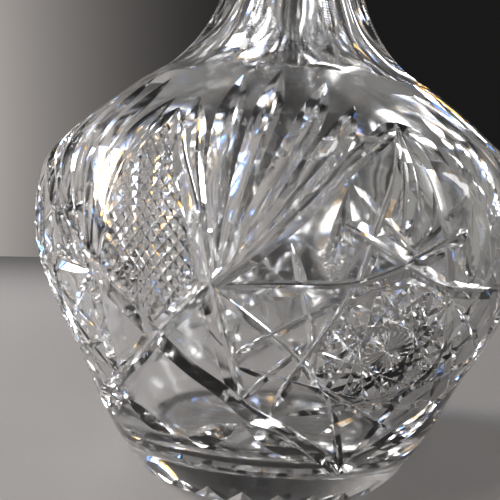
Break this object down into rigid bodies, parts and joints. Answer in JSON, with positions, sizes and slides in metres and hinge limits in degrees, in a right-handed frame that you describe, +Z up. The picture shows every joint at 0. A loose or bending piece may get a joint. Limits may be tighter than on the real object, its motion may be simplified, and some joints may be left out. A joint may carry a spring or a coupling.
{
  "type": "cut crystal decanter",
  "caption": "Round-bellied cut crystal decanter with a fluted neck, a flared lip and a loose ground-glass ball stopper that lifts out.",
  "frame": {"origin": "centre of the foot, on the surface that the decanter stands on", "axes": "+Z up along the bottle's axis; the pattern repeats every quarter turn, and -Y is the front"},
  "size_m": [0.145, 0.145, 0.2555],
  "materials": {
    "cut_crystal": "acid-polished colourless lead crystal, bright mitre cuts and fine crosshatching",
    "stopper_crystal": "polished colourless lead crystal with a grey ground shank"
  },
  "bodies": {
    "vessel": {"decanter_body": "cut_crystal"},
    "stopper": {"stopper": "stopper_crystal"}
  },
  "joints": [
    {"name": "stopper_lift", "type": "slide", "parent": "vessel", "child": "stopper", "axis": [0, 0, 1], "range_m": [0, 0.08]}
  ]
}
